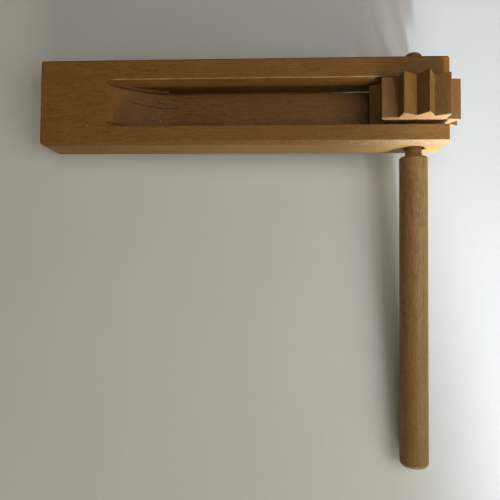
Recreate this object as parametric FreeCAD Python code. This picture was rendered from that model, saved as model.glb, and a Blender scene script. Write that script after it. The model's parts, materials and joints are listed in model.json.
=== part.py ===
import FreeCAD, Part
import math
import os

# Wooden ratchet noisemaker: a grooved block whirls round a handle. The handle's spindle
# carries a toothed wheel, and a springy tongue, sawn free in the block's floor, snaps
# from tooth to tooth. All sizes are in millimetres.
#
# Frame: the origin is the middle of the grip, on the handle's axis. +Y runs along the
# handle towards the block, -X runs along the block to its butt end, and +Z is square
# to the block's grooved top.

# Block
block_length = 200.0
block_width = 42.5
block_height = 20.3
edge_round = 0.9        # sanded long edges and ends
corner_round = 2.3      # upright corners
front_chamfer = 1.9     # planed top edge on the handle's side
front_cheek = 9.6
back_cheek = 10.0
groove_start = 34.3     # from the butt end to where the cutter first bites
cutter_radius = 39.0    # round cutter that sweeps the groove's run-out
axle_from_end = 14.6    # spindle axis to the wheel end of the block
edge_break = 0.35       # worn edges of the groove, the tongue and the bearing holes

# Tongue and the saw kerfs that free it
tongue_thickness = 4.2
kerf_width = 2.0
kerf_step = 0.8         # how much deeper the kerf saw runs out than the groove
kerf_start = 61.0       # from the butt end to where the kerfs come through
tongue_root = 66.0      # from the butt end to the line where the tongue flexes
root_gap = 0.15         # round the flexing root
tip_gap = 0.35          # between the tongue's end and the nearest tooth
tongue_swing = 2.0      # degrees, down and away from the wheel

# Toothed wheel
teeth = 12
tip_radius = 21.9
valley_radius = 16.2
tip_flat = 0.5
wheel_front_gap = 2.1   # free space beside the wheel, at the handle's side
wheel_back_gap = 1.3
first_tip_angle = 4.4   # degrees, from +Z towards +X
valley_lean = 1.5       # degrees, valleys off the middle of their tooth space

# Handle with its spindle, turned in one piece
grip_radius = 6.8
grip_length = 150.8
grip_round = 2.1
shoulder_round = 1.3
spindle_radius = 4.0
spindle_gap = 0.8       # radial, loose in both cheeks
neck_length = 4.35       # bare spindle between the grip and the block
spindle_proud = 5.6     # past the back cheek
dome_height = 1.6

# Places worked out from the sizes
butt_x = axle_from_end - block_length
end_x = axle_from_end
top_z = block_height / 2
bottom_z = -block_height / 2
front_y = grip_length / 2 + neck_length
middle_y = front_y + block_width / 2
back_y = front_y + block_width
front_wall_y = front_y + front_cheek
back_wall_y = back_y - back_cheek
floor_z = bottom_z + tongue_thickness
run_out_depth = top_z - floor_z
cutter_x = butt_x + groove_start + math.sqrt(cutter_radius**2 - (cutter_radius - run_out_depth)**2)
cutter_z = floor_z + cutter_radius
kerf_x = butt_x + kerf_start
root_x = butt_x + tongue_root
root_z = bottom_z + tongue_thickness / 2
over = 5.0              # how far cutting tools run past the wood


def point(x, y, z):
    return FreeCAD.Vector(x, y, z)


def box(low, high):
    """A box from its lowest corner to its highest."""
    size = [h - l for l, h in zip(low, high)]
    return Part.makeBox(*size, point(*low))


def rod_along_y(x, z, radius, y_low, y_high):
    return Part.makeCylinder(radius, y_high - y_low, point(x, y_low, z), point(0, 1, 0))


def prism_along_y(edges, y_low, y_high):
    """Extrude a closed outline, drawn in the plane y = y_low, to y = y_high."""
    return Part.Face(Part.Wire(edges)).extrude(point(0, y_high - y_low, 0))


def edges_along(solid, direction):
    """The straight edges of a plain box that run along one axis."""
    found = []
    for edge in solid.Edges:
        run = edge.Vertexes[1].Point - edge.Vertexes[0].Point
        if abs(run.normalize() * direction) > 0.999:
            found.append(edge)
    return found


def blank():
    """The sawn block before grooving: three rounded boxes in common, so every edge is eased."""
    low = (butt_x, front_y, bottom_z)
    high = (end_x, back_y, top_z)
    section = box(low, high)
    long_edges = edges_along(section, point(1, 0, 0))
    planed = [e for e in long_edges if e.CenterOfMass.z > 0 and e.CenterOfMass.y < middle_y]
    eased = [e for e in long_edges if e not in planed]
    section = section.makeFillet(edge_round, eased)
    slant = [point(butt_x, front_y, top_z - front_chamfer), point(butt_x, front_y, top_z)]
    slant.append(point(butt_x, front_y + front_chamfer, top_z))
    wedge = Part.Face(Part.makePolygon(slant + slant[:1])).extrude(point(block_length, 0, 0))
    section = section.cut(wedge)
    plan = box(low, high)
    plan = plan.makeFillet(corner_round, edges_along(plan, point(0, 0, 1)))
    side = box(low, high)
    side = side.makeFillet(edge_round, edges_along(side, point(0, 1, 0)))
    return section.common(plan).common(side)


def cutter_sweep(radius, y_low, y_high):
    """What a round cutter takes out: its run-out at the butt side, then a straight pass."""
    bottom = cutter_z - radius
    run_out = rod_along_y(cutter_x, cutter_z, radius, y_low, y_high)
    straight = box((cutter_x, y_low, bottom), (end_x + over, y_high, cutter_z))
    return run_out.fuse(straight)


def broken_edge(x_low, x_high, y, z, y_in, z_in):
    """A thin three-sided prism along X that takes a sharp edge off. y_in and z_in point into the wood."""
    edge = point(x_low, y, z)
    corners = [
        edge + point(0, -y_in * edge_break, -z_in * edge_break),
        edge + point(0, 2 * y_in * edge_break, -z_in * edge_break),
        edge + point(0, -y_in * edge_break, 2 * z_in * edge_break),
    ]
    return Part.Face(Part.makePolygon(corners + corners[:1])).extrude(point(x_high - x_low, 0, 0))


def bearing_rim(y, outwards):
    """A small countersink at the mouth of a bearing hole."""
    radius = spindle_radius + spindle_gap
    mouth = point(0, y, 0)
    return Part.makeCone(radius + edge_break, radius, edge_break, mouth, point(0, -outwards, 0))


def make_block():
    groove = cutter_sweep(cutter_radius, front_wall_y, back_wall_y)
    solid = blank().cut(groove)
    groove_x = butt_x + groove_start
    solid = solid.cut(broken_edge(groove_x, end_x + over, front_wall_y, top_z, -1, -1))
    solid = solid.cut(broken_edge(groove_x, end_x + over, back_wall_y, top_z, 1, -1))
    for wall_low in (front_wall_y, back_wall_y - kerf_width):
        wall_high = wall_low + kerf_width
        solid = solid.cut(cutter_sweep(cutter_radius + kerf_step, wall_low, wall_high))
        through = box((kerf_x, wall_low, bottom_z - over), (end_x + over, wall_high, top_z + over))
        solid = solid.cut(through)
    seat = rod_along_y(root_x, root_z, tongue_thickness / 2 + root_gap, front_wall_y, back_wall_y)
    solid = solid.cut(seat)
    low = (root_x, front_wall_y, bottom_z - over)
    solid = solid.cut(box(low, (end_x + over, back_wall_y, top_z + over)))
    bearing = rod_along_y(0, 0, spindle_radius + spindle_gap, front_y - over, back_y + over)
    solid = solid.cut(bearing)
    for y, outwards in ((front_y, -1), (front_wall_y, 1), (back_wall_y, -1), (back_y, 1)):
        solid = solid.cut(bearing_rim(y, outwards))
    return solid


def wheel_outline():
    """Corners of the toothed outline as (x, z), two for each tip's flat and one for each valley."""
    corners = []
    pitch = 2 * math.pi / teeth
    half_flat = tip_flat / 2 / tip_radius
    for tooth in range(teeth):
        tip = math.radians(first_tip_angle) + tooth * pitch
        valley = tip + pitch / 2 + math.radians(valley_lean)
        for angle, radius in ((tip - half_flat, tip_radius), (tip + half_flat, tip_radius), (valley, valley_radius)):
            corners.append((radius * math.sin(angle), radius * math.cos(angle)))
    return corners


def wheel_reach(z_low, z_high):
    """How far the wheel reaches towards the tongue, anywhere between two heights."""
    corners = wheel_outline()
    reach = 0.0
    for (x1, z1), (x2, z2) in zip(corners, corners[1:] + corners[:1]):
        shares = [0.0, 1.0]
        if z1 != z2:
            shares += [(z_low - z1) / (z2 - z1), (z_high - z1) / (z2 - z1)]
        for share in shares:
            z = z1 + share * (z2 - z1)
            if 0 <= share <= 1 and z_low - 1e-9 <= z <= z_high + 1e-9:
                reach = max(reach, -(x1 + share * (x2 - x1)))
    return reach


def tongue_end():
    """The tongue stops short of every tooth that it could meet as it swings down."""
    longest = -root_x - valley_radius
    drop = math.tan(math.radians(tongue_swing)) * longest
    return -wheel_reach(bottom_z - drop, floor_z) - tip_gap


def make_tongue():
    y_low = front_wall_y + kerf_width
    y_high = back_wall_y - kerf_width
    tip_x = tongue_end()
    under_root = point(root_x, y_low, bottom_z)
    under_tip = point(tip_x, y_low, bottom_z)
    over_tip = point(tip_x, y_low, floor_z)
    over_root = point(root_x, y_low, floor_z)
    behind_root = point(root_x - tongue_thickness / 2, y_low, root_z)
    outline = [
        Part.LineSegment(under_root, under_tip).toShape(),
        Part.LineSegment(under_tip, over_tip).toShape(),
        Part.LineSegment(over_tip, over_root).toShape(),
        Part.Arc(over_root, behind_root, under_root).toShape(),
    ]
    strip = prism_along_y(outline, y_low, y_high)
    strip = strip.cut(broken_edge(root_x, tip_x + over, y_low, floor_z, 1, -1))
    return strip.cut(broken_edge(root_x, tip_x + over, y_high, floor_z, -1, -1))


def make_wheel():
    y_low = front_wall_y + wheel_front_gap
    y_high = back_wall_y - wheel_back_gap
    corners = [point(x, y_low, z) for x, z in wheel_outline()]
    outline = Part.makePolygon(corners + corners[:1])
    disc = prism_along_y(outline.Edges, y_low, y_high)
    return disc.cut(rod_along_y(0, 0, spindle_radius, y_low - over, y_high + over))


def quarter_round(radius_from, y_from, radius_to, y_to, bulge_radius, bulge_y):
    """An arc of a turned profile, from one corner of a rounding to the other."""
    start = point(radius_from, y_from, 0)
    end = point(radius_to, y_to, 0)
    return Part.Arc(start, point(bulge_radius, bulge_y, 0), end).toShape()


def make_handle():
    free_end = -grip_length / 2
    shoulder = grip_length / 2
    pin_end = back_y + spindle_proud
    near = 1 - math.sqrt(0.5)
    flat_end = point(grip_radius - grip_round, free_end, 0)
    grip_foot = point(grip_radius, free_end + grip_round, 0)
    grip_top = point(grip_radius, shoulder - shoulder_round, 0)
    shoulder_rim = point(grip_radius - shoulder_round, shoulder, 0)
    neck_foot = point(spindle_radius, shoulder, 0)
    neck_top = point(spindle_radius, pin_end - dome_height, 0)
    end_rounding = quarter_round(
        flat_end.x, flat_end.y, grip_foot.x, grip_foot.y,
        grip_radius - near * grip_round, free_end + near * grip_round)
    shoulder_rounding = quarter_round(
        grip_top.x, grip_top.y, shoulder_rim.x, shoulder_rim.y,
        grip_radius - near * shoulder_round, shoulder - near * shoulder_round)
    dome_sphere = (spindle_radius**2 + dome_height**2) / (2 * dome_height)
    dome_middle = spindle_radius / 2
    dome_drop = dome_sphere - math.sqrt(dome_sphere**2 - dome_middle**2)
    dome = quarter_round(neck_top.x, neck_top.y, 0, pin_end, dome_middle, pin_end - dome_drop)
    profile = [
        Part.LineSegment(point(0, free_end, 0), flat_end).toShape(),
        end_rounding,
        Part.LineSegment(grip_foot, grip_top).toShape(),
        shoulder_rounding,
        Part.LineSegment(shoulder_rim, neck_foot).toShape(),
        Part.LineSegment(neck_foot, neck_top).toShape(),
        dome,
        Part.LineSegment(point(0, pin_end, 0), point(0, free_end, 0)).toShape(),
    ]
    face = Part.Face(Part.Wire(profile))
    return face.revolve(point(0, 0, 0), point(0, 1, 0), 360)


os.makedirs("parts", exist_ok=True)
make_block().exportStep("parts/block.step")
make_tongue().exportStep("parts/tongue.step")
make_wheel().exportStep("parts/toothed_wheel.step")
make_handle().exportStep("parts/handle.step")
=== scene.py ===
"""A beech ratchet noisemaker lying on a pale table: wood, tongue, table, light and camera."""
import json
import math

import bmesh
import bpy
from mathutils import Matrix, Vector


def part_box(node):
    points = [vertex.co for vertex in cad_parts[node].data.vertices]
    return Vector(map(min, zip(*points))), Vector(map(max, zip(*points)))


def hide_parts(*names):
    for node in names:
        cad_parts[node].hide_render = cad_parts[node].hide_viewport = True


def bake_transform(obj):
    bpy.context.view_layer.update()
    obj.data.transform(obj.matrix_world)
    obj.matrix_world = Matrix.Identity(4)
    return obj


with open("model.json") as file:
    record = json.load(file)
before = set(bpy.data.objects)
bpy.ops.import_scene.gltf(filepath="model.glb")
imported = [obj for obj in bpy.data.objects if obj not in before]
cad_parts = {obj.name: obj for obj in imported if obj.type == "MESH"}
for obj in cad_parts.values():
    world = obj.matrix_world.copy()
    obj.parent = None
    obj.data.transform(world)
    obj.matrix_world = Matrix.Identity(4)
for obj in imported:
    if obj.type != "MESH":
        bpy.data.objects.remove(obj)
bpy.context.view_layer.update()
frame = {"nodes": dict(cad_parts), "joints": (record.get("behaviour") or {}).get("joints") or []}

# Sizes, in metres
MM = 0.001
CUTTER_RADIUS = 39.0 * MM
KERF = 2.0 * MM
EDGE_SOFTNESS = 0.35 * MM
WOOD_RELIEF = 0.06 * MM
TABLE_RELIEF = 0.01 * MM
SKIN_REACH = 1.8 * MM
SKIN_STEP = 0.45 * MM
SKIN_LIFT_REACH = 0.9 * MM
TOP_SKIN_LIFT = 0.03 * MM
UNDER_SKIN_LIFT = -0.02 * MM
FIRST_STATION = 1.5 * MM
STATION_STEP = 2.5 * MM
LAST_STATION = 3.0 * MM
TABLE_REACH = 3.0

# Places on the object, in metres, from the CAD frame
block_low, block_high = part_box("block")
tongue_low, tongue_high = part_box("tongue")
wheel_low, wheel_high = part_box("toothed_wheel")
handle_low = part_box("handle")[0]
root = Vector(next(j for j in frame["joints"] if j["name"] == "tongue_flex")["pos_m"])

# The same places in millimetres, which the finishes are drawn in
front_y = block_low.y / MM
middle_y = (block_low.y + block_high.y) / 2 / MM
top_z = block_high.z / MM
front_wall_y = (tongue_low.y - KERF) / MM
back_wall_y = (tongue_high.y + KERF) / MM
root_x = root.x / MM
root_z = root.z / MM
tongue_back_y = tongue_high.y / MM
tongue_end_x = tongue_high.x / MM
wheel_front_y = wheel_low.y / MM
tooth_reach = wheel_high.x / MM


# --- Shader arithmetic --------------------------------------------------------

class Value:
    """A shader socket that takes part in ordinary sums."""

    def __init__(self, finish, socket):
        self.finish = finish
        self.socket = socket

    def __add__(self, other):
        return self.finish.sum("ADD", self, other)

    __radd__ = __add__

    def __sub__(self, other):
        return self.finish.sum("SUBTRACT", self, other)

    def __rsub__(self, other):
        return self.finish.sum("SUBTRACT", other, self)

    def __mul__(self, other):
        return self.finish.sum("MULTIPLY", self, other)

    __rmul__ = __mul__

    def __abs__(self):
        return self.finish.sum("ABSOLUTE", self)


class Finish:
    """One material and the nodes that make it."""

    def __init__(self, name):
        self.material = bpy.data.materials.new(name)
        self.material.use_nodes = True
        self.tree = self.material.node_tree
        self.tree.nodes.clear()

    def add(self, kind, settings=None, sockets=None):
        """Adds a node: its settings first, then the values or links of its sockets."""
        node = self.tree.nodes.new(kind)
        for name, value in (settings or {}).items():
            setattr(node, name, value)
        for name, value in (sockets or {}).items():
            if isinstance(value, Value):
                self.tree.links.new(value.socket, node.inputs[name])
            else:
                node.inputs[name].default_value = value
        return node

    def sum(self, operation, *terms):
        node = self.add("ShaderNodeMath", {"operation": operation}, dict(enumerate(terms)))
        return Value(self, node.outputs[0])

    def place(self):
        """Where a point is on the object, in millimetres."""
        here = self.add("ShaderNodeTexCoord").outputs["Object"]
        sockets = {0: Value(self, here), 1: (1 / MM, 1 / MM, 1 / MM)}
        node = self.add("ShaderNodeVectorMath", {"operation": "MULTIPLY"}, sockets)
        return Value(self, node.outputs[0])

    def split(self, vector):
        node = self.add("ShaderNodeSeparateXYZ", None, {0: vector})
        return [Value(self, socket) for socket in node.outputs]

    def join(self, x, y, z):
        node = self.add("ShaderNodeCombineXYZ", None, {0: x, 1: y, 2: z})
        return Value(self, node.outputs[0])

    def noise(self, vector, detail=2.0, roughness=0.5, scale=1.0):
        sockets = {"Vector": vector, "Scale": scale, "Detail": detail, "Roughness": roughness}
        node = self.add("ShaderNodeTexNoise", None, sockets)
        return Value(self, node.outputs[0])

    def rise(self, value, low, high):
        """0 below low and 1 above high, with a smooth step between."""
        settings = {"interpolation_type": "SMOOTHSTEP"}
        sockets = {"Value": value, "From Min": low, "From Max": high}
        node = self.add("ShaderNodeMapRange", settings, sockets)
        return Value(self, node.outputs[0])

    def fall(self, value, low, high):
        """1 below low and 0 above high."""
        return 1 - self.rise(value, low, high)

    def tint(self, amount, first, second):
        """Mixes two colours by amount."""
        sides = [c if isinstance(c, Value) else (*c, 1.0) for c in (first, second)]
        node = self.add("ShaderNodeMix", {"data_type": "RGBA"}, {0: amount, 6: sides[0], 7: sides[1]})
        return Value(self, node.outputs[2])

    def surface(self, colour, roughness, height, depth):
        """Ends the material in a Principled surface with soft edges and a relief of this depth."""
        soft = self.add("ShaderNodeBevel", {"samples": 6}, {"Radius": EDGE_SOFTNESS})
        bump = self.add("ShaderNodeBump", None, {
            "Strength": 1.0, "Distance": depth, "Height": height, "Normal": Value(self, soft.outputs[0])})
        shader = self.add("ShaderNodeBsdfPrincipled", None, {
            "Base Color": colour, "Roughness": roughness, "Normal": Value(self, bump.outputs[0]),
            "Specular IOR Level": 0.25})
        output = self.add("ShaderNodeOutputMaterial")
        self.tree.links.new(shader.outputs[0], output.inputs["Surface"])
        return self.material


# --- Beech --------------------------------------------------------------------

# The middle of the tree, across and above the grain, in millimetres
BLOCK_HEART = (92.0, -47.0)
WHEEL_HEART = (9.0, -31.0)
HANDLE_HEART = (-7.0, -23.0)

BLOCK_TONE = (0.174, 0.079, 0.0125)
WHEEL_TONE = (0.160, 0.073, 0.0175)
HANDLE_TONE = (0.196, 0.102, 0.031)
# Dark for the scored arc, and for the painted shadow along the kerf step
SCORCH_AND_STEP_SHADOW = (0.045, 0.018, 0.005)
PALE_SPECK = (0.42, 0.33, 0.22)
TORN_PALE = (0.34, 0.20, 0.080)
# Painted light on the chamfer towards the wheel's end
CHAMFER_PAINTED_LIGHT = (0.46, 0.31, 0.165)
# Painted light on the front face towards the wheel's end
FRONT_PAINTED_LIGHT = (0.28, 0.165, 0.058)
# Pale edge lines: partly wear, partly a painted highlight
EDGE_WEAR_AND_HIGHLIGHT = (0.40, 0.27, 0.14)
# Paler end grain, partly painted light where the front light falls
END_GRAIN_AND_PAINTED_LIGHT = (0.275, 0.160, 0.070)


def shade(tone, red, green, blue):
    return tone[0] * red, tone[1] * green, tone[2] * blue


def streaks(finish, wood, along, across, detail=2.0, roughness=0.5):
    """Noise drawn out along the grain, with so many waves a millimetre along and across it."""
    length, side, rise = wood
    place = finish.join(length * along, side * across, rise * across)
    return finish.noise(place, detail, roughness)


def grown_wood(finish, grain, heart):
    """Places in the tree, in millimetres: along the grain, across it and above it from the heart."""
    x, y, z = finish.split(finish.place())
    length, side, rise = (x, y, z) if grain == "x" else (y, x, z)
    drift = finish.noise(finish.join(length * 0.012, side * 0.02, rise * 0.02), detail=1.0)
    side = side - heart[0] + (drift - 0.5) * 7.0
    rise = rise - heart[1] + (drift - 0.5) * 5.0
    return length, side, rise


def beech(name, grain, heart, tone, fleck, cuts):
    """Bare beech: year rings, fine fibres, short ray flecks and pores that run with the grain."""
    finish = Finish(name)
    wood = grown_wood(finish, grain, heart)
    length, side, rise = wood
    out = finish.sum("SQRT", side * side + rise * rise)
    turn = finish.sum("ARCTAN2", side, rise) * math.hypot(*heart)

    rings = finish.noise(finish.join(out * 0.42, length * 0.004, 0.0), detail=3.0, roughness=0.6)
    clouds = streaks(finish, wood, 0.07, 0.16, detail=3.0)
    warmth = streaks(finish, wood, 0.022, 0.07)
    fibres = streaks(finish, wood, 0.075, 1.7, detail=4.0, roughness=0.72)
    threads = streaks(finish, wood, 0.30, 3.0, detail=3.0, roughness=0.7)
    ray_field = finish.noise(finish.join(length * 0.42, out * 0.12, turn * 1.7), roughness=0.55)
    rays = finish.rise(ray_field, 0.585, 0.69) * fleck
    pores = finish.rise(streaks(finish, wood, 1.1, 4.2, detail=1.0), 0.66, 0.76)
    blots = finish.rise(streaks(finish, wood, 0.11, 0.5, detail=4.0, roughness=0.7), 0.66, 0.80) * fleck

    pale = shade(tone, 1.22, 1.25, 1.32)
    deep = shade(tone, 0.82, 0.79, 0.74)
    warm = shade(tone, 1.04, 0.93, 0.84)
    dark = shade(tone, 0.42, 0.34, 0.28)
    body = (rings - 0.5) * 0.5 + (clouds - 0.5) * 0.7 + (fibres - 0.5) * 2.8 + (threads - 0.5) * 3.0 + 0.5
    colour = finish.tint(finish.rise(body, 0.0, 1.0), pale, deep)
    colour = finish.tint(finish.rise(warmth, 0.42, 0.68) * 0.75, colour, warm)
    colour = finish.tint(rays * 0.65, colour, dark)
    colour = finish.tint(pores * 0.6, colour, dark)
    colour = finish.tint(blots * 0.35, colour, dark)
    height = (fibres - 0.5) * 0.7 + (threads - 0.5) * 0.5 - rays * 0.5 - pores * 0.8
    gloss = (fibres - 0.5) * 0.16 + rays * 0.1 + pores * 0.1 + 0.52
    colour, gloss, height = cuts(finish, colour, gloss, height, dark, pale)
    return finish.surface(colour, gloss, height, WOOD_RELIEF)


def speck(finish, x, y, at, size):
    """1 inside a speck at a place on the top, fading to 0 at its rim."""
    across = x - at[0]
    up = y - at[1]
    return finish.fall(finish.sum("SQRT", across * across + up * up), size * 0.4, size)


def groove_marks(finish, colour, height, dark):
    """What cutter and saw left on the groove's floor: fine lines, scored arcs and specks, with a painted
    shadow along the kerf step.
    """
    x, y, z = finish.split(finish.place())
    run = x - (root_x - 5.6)
    in_groove = finish.fall(z, top_z - 0.9, top_z - 0.3)
    in_groove = in_groove * finish.rise(z, root_z - 0.5, root_z + 0.5) * finish.rise(run, -29.0, -27.0)

    lines = finish.noise(finish.join(x * 0.02, y * 3.0, z * 0.4), detail=3.0, roughness=0.7)
    colour = finish.tint(in_groove * finish.rise(lines, 0.5, 0.75) * 0.22, colour, dark)

    from_arc = abs(y - (run * run * 0.0049 + middle_y + 1.7) - finish.rise(run, 3.5, 7.5) * 0.9)
    arc_ends = finish.rise(run, -24.0, -9.0) * finish.fall(run, 5.5, 7.5)
    frayed = finish.rise(finish.noise(finish.join(x * 0.7, y * 0.5, 0.0)), 0.25, 0.5)
    arc = finish.fall(from_arc, 0.18, 0.60) * arc_ends * frayed
    colour = finish.tint(in_groove * arc * 0.8, colour, SCORCH_AND_STEP_SHADOW)

    # Painted shadow: a dark line along the kerf step by the tongue's back edge, where the step's shade
    # falls, broken up by noise
    from_kerf = abs(y - (tongue_back_y + 0.15))
    step_shadow_breaks = finish.rise(finish.noise(finish.join(x * 0.25, 0.0, 0.0)), 0.1, 0.5)
    painted_step_shadow = finish.fall(from_kerf, 0.40, 0.95) * finish.fall(run, 6.0, 8.5) * step_shadow_breaks
    colour = finish.tint(in_groove * painted_step_shadow * 0.8, colour, SCORCH_AND_STEP_SHADOW)

    from_dash = abs(y - (run * -0.16 + middle_y + 3.65))
    dash = finish.fall(from_dash, 0.15, 0.45) * finish.fall(abs(run + 3.0), 0.0, 4.5)
    colour = finish.tint(in_groove * dash * 0.8, colour, dark)

    for at, size in (((-132.4, middle_y - 3.9), 0.33), ((-128.4, middle_y - 5.4), 0.38)):
        colour = finish.tint(in_groove * speck(finish, x, y, at, size), colour, PALE_SPECK)
    knot = speck(finish, x, y, (-115.2, middle_y + 4.3), 0.45)
    colour = finish.tint(in_groove * knot * 0.7, colour, dark)
    return colour, height + in_groove * (lines - 0.5) * 0.5 - in_groove * arc * 0.8


def chamfer_marks(finish, colour, gloss, height, dark):
    """The front chamfer is smooth at the butt end and torn at the wheel's end; painted shade darkens it
    towards the butt end and painted light makes it paler towards the wheel's end.
    """
    x, y, z = finish.split(finish.place())
    on_chamfer = finish.rise(z + front_y - y, top_z - 2.05, top_z - 1.85)
    on_chamfer = on_chamfer * finish.fall(y, front_y + 2.2, front_y + 2.8)
    torn = finish.noise(finish.join(x * 0.35, y * 2.6, z * 2.6), detail=4.0, roughness=0.7)
    nibbled = finish.noise(finish.join(x * 1.1, y * 1.6, z * 1.6), detail=3.0, roughness=0.6)
    # The torn fibres grow towards the wheel's end; their tints there are partly torn grain and partly
    # painted light where the light shows them
    rough = on_chamfer * (finish.rise(x, -130.0, 0.0) * 0.9 + 0.08)
    # Painted shade on the chamfer towards the butt end
    colour = finish.tint(on_chamfer * finish.fall(x, -180.0, -30.0) * 0.6, colour, dark)
    colour = finish.tint(rough * finish.rise(torn, 0.46, 0.66) * 0.5, colour, dark)
    colour = finish.tint(rough * finish.rise(nibbled, 0.42, 0.64) * 0.75, colour, TORN_PALE)
    # Painted light on the chamfer towards the wheel's end
    colour = finish.tint(on_chamfer * finish.rise(x, -70.0, 10.0) * 0.5, colour, CHAMFER_PAINTED_LIGHT)
    height = height + rough * ((torn - 0.5) * 7.0 + (nibbled - 0.5) * 6.0)
    return colour, gloss + on_chamfer * 0.12, height


def block_cuts(finish, colour, gloss, height, dark, pale):
    """Marks in the groove and on the chamfer, painted light on the front towards the wheel's end, groove
    edges pale with wear and a painted highlight, and two specks.
    """
    colour, height = groove_marks(finish, colour, height, dark)
    colour, gloss, height = chamfer_marks(finish, colour, gloss, height, dark)
    x, y, z = finish.split(finish.place())
    # Painted light: the front face is made paler towards the wheel's end, where the front light falls
    on_front = finish.fall(y, front_y + 0.05, front_y + 0.3)
    colour = finish.tint(on_front * finish.rise(x, -185.0, -60.0) * 0.75, colour, FRONT_PAINTED_LIGHT)

    # Pale lines along the groove's top edges: partly wear, partly a painted highlight where the eased
    # edges catch the light
    on_top = finish.rise(z, top_z - 0.6, top_z - 0.2)
    back_edge = finish.fall(abs(y - (back_wall_y + 0.1)), 0.0, 0.55)
    front_edge = finish.fall(abs(y - (front_wall_y - 0.1)), 0.0, 0.45) * 0.5
    beside_groove = finish.rise(x, root_x - 31.0, root_x - 27.0)
    uneven = finish.rise(finish.noise(finish.join(x * 0.12, y * 0.3, 0.0), detail=3.0), 0.2, 0.55)
    wear_and_highlight = (back_edge + front_edge) * on_top * beside_groove * uneven
    colour = finish.tint(wear_and_highlight * 0.45, colour, EDGE_WEAR_AND_HIGHLIGHT)
    chip = speck(finish, x, y, (-161.4, front_y + 9.7), 0.35)
    colour = finish.tint(on_top * chip, colour, PALE_SPECK)
    knot = speck(finish, x, y, (-118.9, front_y + 8.0), 0.45)
    colour = finish.tint(on_top * knot * 0.8, colour, dark)
    return colour, gloss, height


def tongue_cuts(finish, colour, gloss, height, dark, pale):
    """The groove's marks run on along the tongue; its end by the wheel is darkened as a painted shadow of
    the wheel, and made glossier where the teeth rub.
    """
    x, y, z = finish.split(finish.place())
    colour, height = groove_marks(finish, colour, height, dark)
    rubbed_and_shaded = finish.rise(x, tongue_end_x - 7.0, tongue_end_x)
    # Painted shadow: the last 7 mm of the tongue, where the wheel's shade falls, are darkened
    colour = finish.tint(rubbed_and_shaded * 0.25, colour, dark)
    return colour, gloss - rubbed_and_shaded * 0.12, height


def wheel_cuts(finish, colour, gloss, height, dark, pale):
    """The sawn front face is paler, partly as end grain and partly as painted light, and the tooth tips
    are polished where they drag.
    """
    x, y, z = finish.split(finish.place())
    reach = finish.sum("SQRT", x * x + z * z)
    tips = finish.rise(reach, tooth_reach - 2.2, tooth_reach - 0.3)
    # The wheel's front face is painted paler: partly its end grain, partly painted light where the front
    # light falls on it
    sawn = finish.fall(y, wheel_front_y + 0.1, wheel_front_y + 0.35)
    colour = finish.tint(sawn * 0.8, colour, END_GRAIN_AND_PAINTED_LIGHT)
    colour = finish.tint(tips * 0.30, colour, pale)
    return colour, gloss - tips * 0.12, height * (1 - tips * 0.7)


def handle_cuts(finish, colour, gloss, height, dark, pale):
    """Faint turning rings round the dowel and a grip darkened by hands."""
    x, y, z = finish.split(finish.place())
    turned = finish.noise(finish.join(y * 2.6, 0.0, 0.0))
    held = finish.fall(abs(y + 20.0), 0.0, 85.0)
    colour = finish.tint(held * 0.03, colour, dark)
    return colour, gloss - held * 0.05, height + (turned - 0.5) * 0.25


finishes = {
    "block": beech("beech_block", "x", BLOCK_HEART, BLOCK_TONE, 0.8, block_cuts),
    "tongue": beech("beech_tongue", "x", BLOCK_HEART, BLOCK_TONE, 0.8, tongue_cuts),
    "toothed_wheel": beech("beech_wheel", "y", WHEEL_HEART, WHEEL_TONE, 0.6, wheel_cuts),
    "handle": beech("beech_handle", "y", HANDLE_HEART, HANDLE_TONE, 0.6, handle_cuts),
}
for name, finish in finishes.items():
    node = frame["nodes"][name]
    node.data.materials.clear()
    node.data.materials.append(finish)


# --- The tongue, one piece with the block ---------------------------------------

def everything(mesh):
    return mesh.verts[:] + mesh.edges[:] + mesh.faces[:]


def along_y(edge):
    first, second = edge.verts
    return abs(first.co.x - second.co.x) < 0.001 * MM


def grow_skin(mesh, rim, level, lift, curve):
    """Carries a face on past the root, a hair outside the block's own face."""
    reach = 0.0
    while reach < SKIN_REACH:
        grown = bmesh.ops.extrude_edge_only(mesh, edges=rim)["geom"]
        reach += SKIN_STEP
        for vert in grown:
            if isinstance(vert, bmesh.types.BMVert):
                vert.co.x = root.x - reach
                vert.co.z = level + lift * min(1.0, reach / SKIN_LIFT_REACH) + reach * reach * curve
        rim = [e for e in grown if isinstance(e, bmesh.types.BMEdge) and e.is_boundary and along_y(e)]


def make_object(name, mesh, finish):
    """Puts a finished mesh in the scene as an object of its own."""
    data = bpy.data.meshes.new(name)
    mesh.to_mesh(data)
    mesh.free()
    data.materials.append(finish)
    piece = bpy.data.objects.new(name, data)
    bpy.context.scene.collection.objects.link(piece)
    return piece


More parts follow.
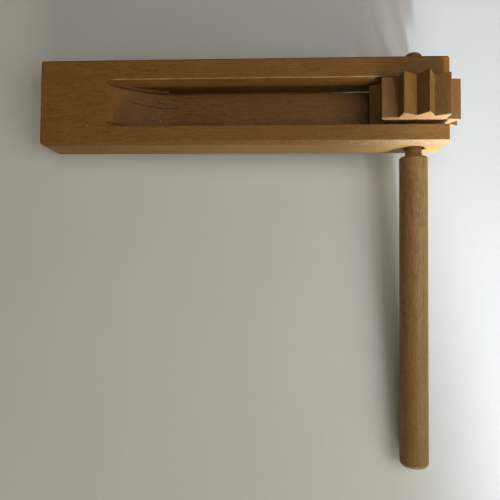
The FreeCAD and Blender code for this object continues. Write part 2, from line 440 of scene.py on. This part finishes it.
def make_tongue_strip():
    """The tongue as it really is: it grows out of the block, with no joint at its root."""
    mesh = bmesh.new()
    mesh.from_mesh(frame["nodes"]["tongue"].data)
    bmesh.ops.remove_doubles(mesh, verts=mesh.verts, dist=0.002 * MM)
    across = {"plane_no": (1, 0, 0), "plane_co": (root.x, 0, 0)}
    bmesh.ops.bisect_plane(mesh, geom=everything(mesh), clear_inner=True, **across)
    bmesh.ops.dissolve_limit(mesh, angle_limit=math.radians(0.5), verts=mesh.verts, edges=mesh.edges)
    station = root.x + FIRST_STATION
    while station < tongue_high.x - LAST_STATION:
        across["plane_co"] = (station, 0, 0)
        bmesh.ops.bisect_plane(mesh, geom=everything(mesh), **across)
        station += STATION_STEP

    rim = [e for e in mesh.edges if e.is_boundary and along_y(e)]
    top = [e for e in rim if all(v.co.z > tongue_high.z - 0.01 * MM for v in e.verts)]
    under = [e for e in rim if all(v.co.z < tongue_low.z + 0.01 * MM for v in e.verts)]
    grow_skin(mesh, top, tongue_high.z, TOP_SKIN_LIFT, 0.5 / CUTTER_RADIUS)
    grow_skin(mesh, under, tongue_low.z, UNDER_SKIN_LIFT, 0.0)
    bmesh.ops.recalc_face_normals(mesh, faces=mesh.faces)
    for face in mesh.faces:
        face.smooth = False
    return make_object("tongue_strip", mesh, finishes["tongue"])


tongue_strip = make_tongue_strip()
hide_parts("tongue")
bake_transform(tongue_strip)


# --- Table ----------------------------------------------------------------------

TABLE_LIGHT = (0.61, 0.59, 0.55)
TABLE_DARK = (0.55, 0.53, 0.49)


def table_finish():
    """Pale laminate with a faint cloudiness and a satin gloss."""
    finish = Finish("table_laminate")
    place = finish.place()
    clouds = finish.noise(place, detail=3.0, scale=0.012)
    grit = finish.noise(place, scale=0.9)
    amount = (clouds - 0.5) * 0.6 + (grit - 0.5) * 0.5 + 0.5
    colour = finish.tint(finish.rise(amount, 0.0, 1.0), TABLE_LIGHT, TABLE_DARK)
    gloss = (clouds - 0.5) * 0.1 + 0.42
    return finish.surface(colour, gloss, grit, TABLE_RELIEF)


def make_table():
    """A flat top under the three places where the toy rests: block corner, tooth and handle end."""
    corner = block_low.copy()
    tooth = Vector((-1.7 * MM, wheel_low.y, wheel_low.z))
    end = Vector((0.0, handle_low.y + 2.0 * MM, handle_low.z))
    up = (tooth - corner).cross(end - corner).normalized()
    if up.z < 0:
        up.negate()
    side = Vector((1, 0, 0)).cross(up).normalized() * TABLE_REACH
    along = up.cross(side)
    middle = (corner + tooth + end) / 3 - up * 0.1 * MM
    mesh = bmesh.new()
    for i, j in ((-1, -1), (1, -1), (1, 1), (-1, 1)):
        mesh.verts.new(middle + along * i + side * j)
    mesh.faces.new(mesh.verts)
    mesh.normal_update()
    make_object("table", mesh, table_finish())


make_table()


# --- Light ----------------------------------------------------------------------

VIEW_CENTRE = Vector((-80.77, 28.83, 0.0)) * MM
BEAM_AIM = Vector((0.125, 0.05, -0.015))
BEAM_DISTANCE = 1.4
BEAM_WIDTH = math.radians(11.0)


def hang(name, lamp, turn, rise, aim, distance, power, colour):
    """Aims a light. Turn is in degrees from the grip's end round to the wheel's end, rise is above it."""
    turn, rise = math.radians(turn), math.radians(rise)
    way = Vector((math.sin(turn) * math.cos(rise), -math.cos(turn) * math.cos(rise), math.sin(rise)))
    lamp.energy = power
    lamp.color = colour
    light = bpy.data.objects.new(name, lamp)
    light.location = aim + way * distance
    light.rotation_euler = (-way).to_track_quat("-Z", "Y").to_euler()
    bpy.context.scene.collection.objects.link(light)


def soft_light(name, turn, rise, distance, size, power, colour):
    """A soft panel aimed at the toy."""
    lamp = bpy.data.lights.new(name, "AREA")
    lamp.shape = "RECTANGLE"
    lamp.size, lamp.size_y = size
    hang(name, lamp, turn, rise, VIEW_CENTRE, distance, power, colour)


def window_beam(name, turn, rise, power, colour):
    """Low light past the edge of a window frame: it reaches only the wheel's end of the table."""
    lamp = bpy.data.lights.new(name, "SPOT")
    lamp.spot_size = BEAM_WIDTH
    lamp.spot_blend = 0.35
    lamp.shadow_soft_size = 0.03
    hang(name, lamp, turn, rise, BEAM_AIM, BEAM_DISTANCE, power, colour)


def room_light(colour, strength):
    world = bpy.data.worlds.new("room")
    bpy.context.scene.world = world
    world.use_nodes = True
    background = world.node_tree.nodes["Background"]
    background.inputs["Color"].default_value = (*colour, 1.0)
    background.inputs["Strength"].default_value = strength


room_light((1.0, 0.90, 0.64), 0.06)
soft_light("window_front", 12, 24, 2.0, (0.8, 0.2), 16.0, (1.0, 0.98, 0.88))
soft_light("window_side", 50, 22, 1.2, (0.5, 0.2), 0.9, (0.7, 0.8, 1.0))
soft_light("wall_left", -72, 25, 0.75, (0.45, 0.3), 0.72, (0.96, 1.0, 0.66))
soft_light("window_right", 90, 50, 0.5, (0.3, 0.3), 1.05, (0.95, 0.95, 1.0))
soft_light("lamp_near", 60, 30, 0.5, (0.2, 0.2), 0.28, (0.9, 1.0, 0.8))
soft_light("ceiling_behind", 180, 68, 0.75, (0.4, 0.3), 0.62, (1.0, 0.97, 0.93))
window_beam("beam_low", 4, 8, 150, (1.0, 0.95, 0.8))
window_beam("beam_high", 4, 14, 330, (0.62, 0.78, 1.0))
window_beam("beam_right", 24, 14, 45, (0.85, 1.0, 1.0))


# --- Camera ---------------------------------------------------------------------

CAMERA_PLACE = Vector((-67.706, 20.538, 245.523)) * MM
CAMERA_ROLL = math.radians(0.493)
FOCAL_LENGTH = 35.29
SENSOR_WIDTH = 36.0


def make_camera():
    """Almost straight above the block, with the grip running towards the viewer."""
    lens = bpy.data.cameras.new("camera")
    lens.sensor_width = SENSOR_WIDTH
    lens.lens = FOCAL_LENGTH
    lens.clip_start = 0.01
    ahead = (VIEW_CENTRE - CAMERA_PLACE).normalized()
    page_up = Vector((-math.sin(CAMERA_ROLL), math.cos(CAMERA_ROLL), 0.0))
    right = ahead.cross(page_up).normalized()
    up = right.cross(ahead)
    camera = bpy.data.objects.new("camera", lens)
    turn = Matrix((right, up, -ahead)).transposed().to_4x4()
    camera.matrix_world = Matrix.Translation(CAMERA_PLACE) @ turn
    bpy.context.scene.collection.objects.link(camera)
    bpy.context.scene.camera = camera


make_camera()
bpy.context.scene.view_settings.view_transform = "Standard"
